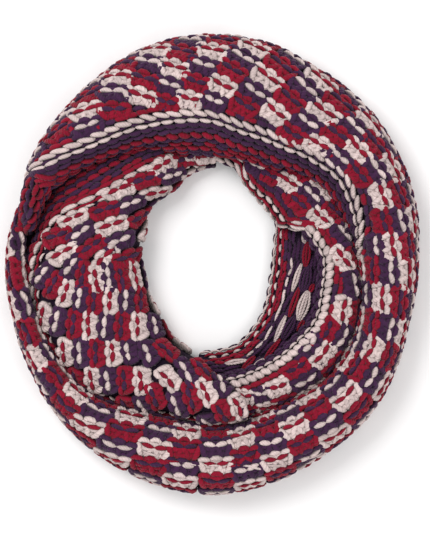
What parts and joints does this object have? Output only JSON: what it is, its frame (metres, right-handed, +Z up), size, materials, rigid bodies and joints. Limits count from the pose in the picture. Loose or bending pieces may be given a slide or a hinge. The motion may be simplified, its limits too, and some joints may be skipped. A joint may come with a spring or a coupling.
{
  "type": "knitted infinity scarf",
  "caption": "Chunky knitted infinity scarf wound twice and laid flat in a ring, with rolled wraps, an overlapping end and a neck hole.",
  "frame": {"origin": "centre of the ring's outline on the surface it lies on", "axes": "+Z up out of the surface, +Y along the ring's longer way, towards the broad overlapping part of the outer wrap, +X to the right seen from above"},
  "size_m": [0.324, 0.361, 0.066],
  "materials": {
    "crimson_yarn": "matte",
    "plum_yarn": "matte",
    "cream_yarn": "matte"
  },
  "bodies": {
    "root": {"outer_wrap": "crimson_yarn", "inner_left": "cream_yarn", "inner_right_upper_lip": "plum_yarn", "inner_right_lower_lip": "plum_yarn", "hidden_layers": "plum_yarn"}
  },
  "joints": []
}
